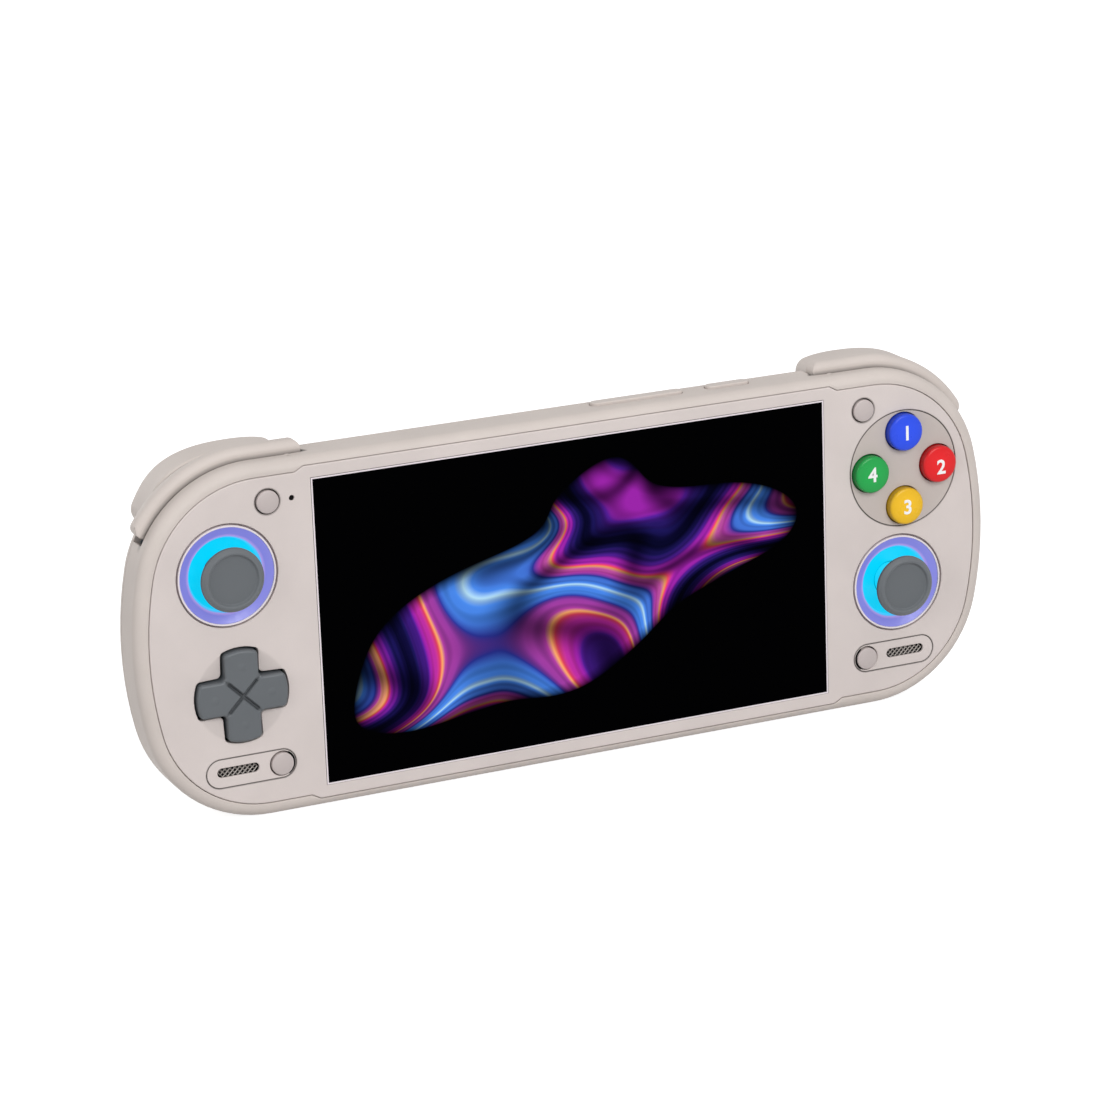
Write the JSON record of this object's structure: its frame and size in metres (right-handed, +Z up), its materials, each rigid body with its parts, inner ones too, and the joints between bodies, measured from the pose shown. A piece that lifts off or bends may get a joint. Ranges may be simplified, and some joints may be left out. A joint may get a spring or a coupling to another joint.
{
  "type": "handheld game console",
  "caption": "Wide handheld game console with a centre screen, two lit thumb sticks, cross pad, coloured face buttons, shoulder bumpers and triggers.",
  "frame": {"origin": "on the flat bottom edge of the case, under the middle of the screen, halfway through the case's depth", "axes": "+X to the player's right, +Y into the back, +Z up to the shoulder side; the screen faces -Y"},
  "size_m": [0.2038, 0.0243, 0.0808],
  "materials": {
    "case": "fine matte warm grey-beige moulding",
    "plate": "fine matte warm grey-beige moulding",
    "glass_black": "black polished display glass with a lit abstract picture",
    "panel": "dark display panel",
    "magnesium": "bare cast light alloy",
    "light_guide": "translucent light guide, lit violet outside and cyan inside",
    "slate_rubber": "soft-touch slate grey",
    "slate_plastic": "satin slate grey",
    "blue": "glossy blue",
    "red": "glossy red",
    "yellow": "glossy yellow",
    "green": "glossy green",
    "steel": "plain steel",
    "black_plastic": "black moulding",
    "silicone": "grey silicone",
    "board": "circuit board, solder mask",
    "cell": "foil pouch cell",
    "copper": "copper sheet",
    "lens": "dark clear lens"
  },
  "bodies": {
    "root": {"audio_jack": "black_plastic", "battery": "cell", "bumper_pins": "steel", "button_disc": "plate", "button_membrane": "silicone", "card_slot": "black_plastic", "case_screws": "steel", "display_glass": "glass_black", "display_panel": "panel", "dpad_membrane": "silicone", "front_frame": "case", "front_plate": "plate", "heat_spreader": "copper", "light_ring_left": "light_guide", "light_ring_right": "light_guide", "main_board": "board", "mid_frame": "magnesium", "rear_cover": "case", "side_board_left": "board", "side_board_right": "board", "speaker_left": "black_plastic", "speaker_mesh_left": "steel", "speaker_mesh_right": "steel", "speaker_plate_left": "plate", "speaker_plate_right": "plate", "speaker_right": "black_plastic", "status_light": "lens", "stick_bezel_left": "case", "stick_bezel_right": "case", "stick_housing_left": "black_plastic", "stick_housing_right": "black_plastic", "trigger_pins": "steel", "trigger_springs": "steel", "usb_port": "steel"},
    "stick_gimbal_left": {"stick_gimbal_left": "black_plastic"},
    "stick_cradle_left": {"stick_cradle_left": "black_plastic"},
    "stick_left": {"stick_cap_left": "slate_rubber", "stick_shaft_left": "steel"},
    "stick_gimbal_right": {"stick_gimbal_right": "black_plastic"},
    "stick_cradle_right": {"stick_cradle_right": "black_plastic"},
    "stick_right": {"stick_cap_right": "slate_rubber", "stick_shaft_right": "steel"},
    "dpad_ball": {"dpad_ball": "black_plastic"},
    "dpad": {"dpad": "slate_plastic"},
    "face_button_top": {"face_button_top": "blue"},
    "face_button_right": {"face_button_right": "red"},
    "face_button_bottom": {"face_button_bottom": "yellow"},
    "face_button_left": {"face_button_left": "green"},
    "menu_button_left": {"menu_button_left": "case"},
    "menu_button_right": {"menu_button_right": "case"},
    "speaker_button_left": {"speaker_button_left": "case"},
    "speaker_button_right": {"speaker_button_right": "case"},
    "volume_rocker": {"volume_rocker": "case"},
    "power_button": {"power_button": "case"},
    "bumper_left": {"bumper_left": "case"},
    "trigger_left": {"trigger_left": "case"},
    "bumper_right": {"bumper_right": "case"},
    "trigger_right": {"trigger_right": "case"}
  },
  "joints": [
    {"name": "stick_left_up_down", "type": "hinge", "parent": "root", "child": "stick_gimbal_left", "pos_m": [-0.0807, -0.0001, 0.05493], "axis": [1, 0, 0], "range_deg": [-14, 14], "stiffness_Nm_per_rad": 0.02},
    {"name": "stick_left_left_right", "type": "hinge", "parent": "stick_gimbal_left", "child": "stick_cradle_left", "pos_m": [-0.0807, -0.0001, 0.05493], "axis": [0, 0, 1], "range_deg": [-14, 14], "stiffness_Nm_per_rad": 0.02},
    {"name": "stick_left_click", "type": "slide", "parent": "stick_cradle_left", "child": "stick_left", "axis": [0, 1, 0], "range_m": [0, 0.0004], "stiffness_N_per_m": 2000, "springref_m": -0.0001},
    {"name": "stick_right_up_down", "type": "hinge", "parent": "root", "child": "stick_gimbal_right", "pos_m": [0.0791, -0.0001, 0.02828], "axis": [1, 0, 0], "range_deg": [-14, 14], "stiffness_Nm_per_rad": 0.02},
    {"name": "stick_right_left_right", "type": "hinge", "parent": "stick_gimbal_right", "child": "stick_cradle_right", "pos_m": [0.0791, -0.0001, 0.02828], "axis": [0, 0, 1], "range_deg": [-14, 14], "stiffness_Nm_per_rad": 0.02},
    {"name": "stick_right_click", "type": "slide", "parent": "stick_cradle_right", "child": "stick_right", "axis": [0, 1, 0], "range_m": [0, 0.0004], "stiffness_N_per_m": 2000, "springref_m": -0.0001},
    {"name": "dpad_up_down", "type": "hinge", "parent": "root", "child": "dpad_ball", "pos_m": [-0.0791, -0.0024, 0.0283], "axis": [1, 0, 0], "range_deg": [-4.5, 4.5], "stiffness_Nm_per_rad": 0.06},
    {"name": "dpad_left_right", "type": "hinge", "parent": "dpad_ball", "child": "dpad", "pos_m": [-0.0791, -0.0024, 0.0283], "axis": [0, 0, 1], "range_deg": [-4.5, 4.5], "stiffness_Nm_per_rad": 0.06},
    {"name": "face_top_press", "type": "slide", "parent": "root", "child": "face_button_top", "axis": [0, 1, 0], "range_m": [0, 0.0013], "stiffness_N_per_m": 400, "springref_m": -0.0003},
    {"name": "face_right_press", "type": "slide", "parent": "root", "child": "face_button_right", "axis": [0, 1, 0], "range_m": [0, 0.0013], "stiffness_N_per_m": 400, "springref_m": -0.0003},
    {"name": "face_bottom_press", "type": "slide", "parent": "root", "child": "face_button_bottom", "axis": [0, 1, 0], "range_m": [0, 0.0013], "stiffness_N_per_m": 400, "springref_m": -0.0003},
    {"name": "face_left_press", "type": "slide", "parent": "root", "child": "face_button_left", "axis": [0, 1, 0], "range_m": [0, 0.0013], "stiffness_N_per_m": 400, "springref_m": -0.0003},
    {"name": "menu_left_press", "type": "slide", "parent": "root", "child": "menu_button_left", "axis": [0, 1, 0], "range_m": [0, 0.0006], "stiffness_N_per_m": 600, "springref_m": -0.0002},
    {"name": "menu_right_press", "type": "slide", "parent": "root", "child": "menu_button_right", "axis": [0, 1, 0], "range_m": [0, 0.0006], "stiffness_N_per_m": 600, "springref_m": -0.0002},
    {"name": "speaker_left_press", "type": "slide", "parent": "root", "child": "speaker_button_left", "axis": [0, 1, 0], "range_m": [0, 0.0006], "stiffness_N_per_m": 600, "springref_m": -0.0002},
    {"name": "speaker_right_press", "type": "slide", "parent": "root", "child": "speaker_button_right", "axis": [0, 1, 0], "range_m": [0, 0.0006], "stiffness_N_per_m": 600, "springref_m": -0.0002},
    {"name": "volume_rock", "type": "hinge", "parent": "root", "child": "volume_rocker", "pos_m": [0.01835, 0, 0.0771], "axis": [0, 1, 0], "range_deg": [-1.8, 1.8], "stiffness_Nm_per_rad": 0.08},
    {"name": "power_press", "type": "slide", "parent": "root", "child": "power_button", "axis": [0, 0, -1], "range_m": [0, 0.0004], "stiffness_N_per_m": 1200, "springref_m": -0.0002},
    {"name": "bumper_left_press", "type": "hinge", "parent": "root", "child": "bumper_left", "pos_m": [-0.0646, 0.00065, 0.0767], "axis": [0, -1, 0], "range_deg": [0, 2.4], "stiffness_Nm_per_rad": 0.4, "springref_deg": -1.15},
    {"name": "trigger_left_pull", "type": "hinge", "parent": "root", "child": "trigger_left", "pos_m": [-0.07, 0.0053, 0.0737], "axis": [-1, 0, 0], "range_deg": [0, 13], "stiffness_Nm_per_rad": 0.06, "springref_deg": -8.59},
    {"name": "bumper_right_press", "type": "hinge", "parent": "root", "child": "bumper_right", "pos_m": [0.0646, 0.00065, 0.0767], "axis": [0, 1, 0], "range_deg": [0, 2.4], "stiffness_Nm_per_rad": 0.4, "springref_deg": -1.15},
    {"name": "trigger_right_pull", "type": "hinge", "parent": "root", "child": "trigger_right", "pos_m": [0.07, 0.0053, 0.0737], "axis": [-1, 0, 0], "range_deg": [0, 13], "stiffness_Nm_per_rad": 0.06, "springref_deg": -8.59}
  ]
}
